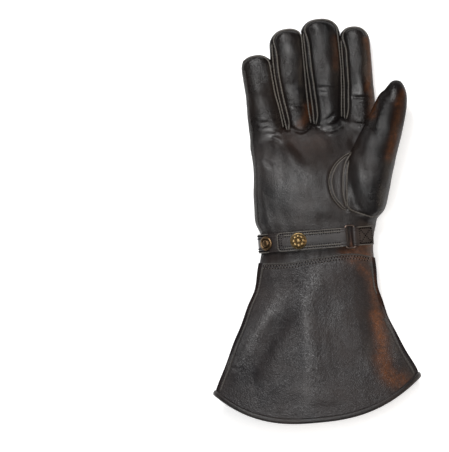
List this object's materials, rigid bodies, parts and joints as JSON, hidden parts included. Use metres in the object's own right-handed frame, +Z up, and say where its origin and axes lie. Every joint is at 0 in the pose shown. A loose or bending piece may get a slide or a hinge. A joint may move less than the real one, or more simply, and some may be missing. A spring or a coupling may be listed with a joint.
{
  "type": "gauntlet glove",
  "caption": "Dark brown leather gauntlet glove for the right hand, lying palm up, with a flared bound cuff and a wrist strap with a wire ring and brass snaps.",
  "frame": {"origin": "middle of the bounding box, at the surface that the glove lies on", "axes": "+Y from the cuff to the fingertips, +X towards the thumb, +Z up out of the palm"},
  "size_m": [0.1828, 0.3564, 0.0524],
  "materials": {
    "glove_leather": "satin",
    "cuff_leather": "satin pebbled",
    "ring_wire": "antiqued",
    "snap_brass": "antiqued"
  },
  "bodies": {
    "root": {"hand": "glove_leather", "fourchette_little_ring": "glove_leather", "fourchette_ring_middle": "glove_leather", "fourchette_middle_index": "glove_leather", "thumb": "glove_leather", "quirk": "glove_leather", "cuff_binding": "glove_leather", "cuff_palm": "cuff_leather", "cuff_back": "cuff_leather", "wrist_strap": "cuff_leather", "strap_tab": "cuff_leather", "strap_ring": "ring_wire", "snap_stud": "snap_brass", "snap_rosette": "snap_brass"}
  },
  "joints": []
}
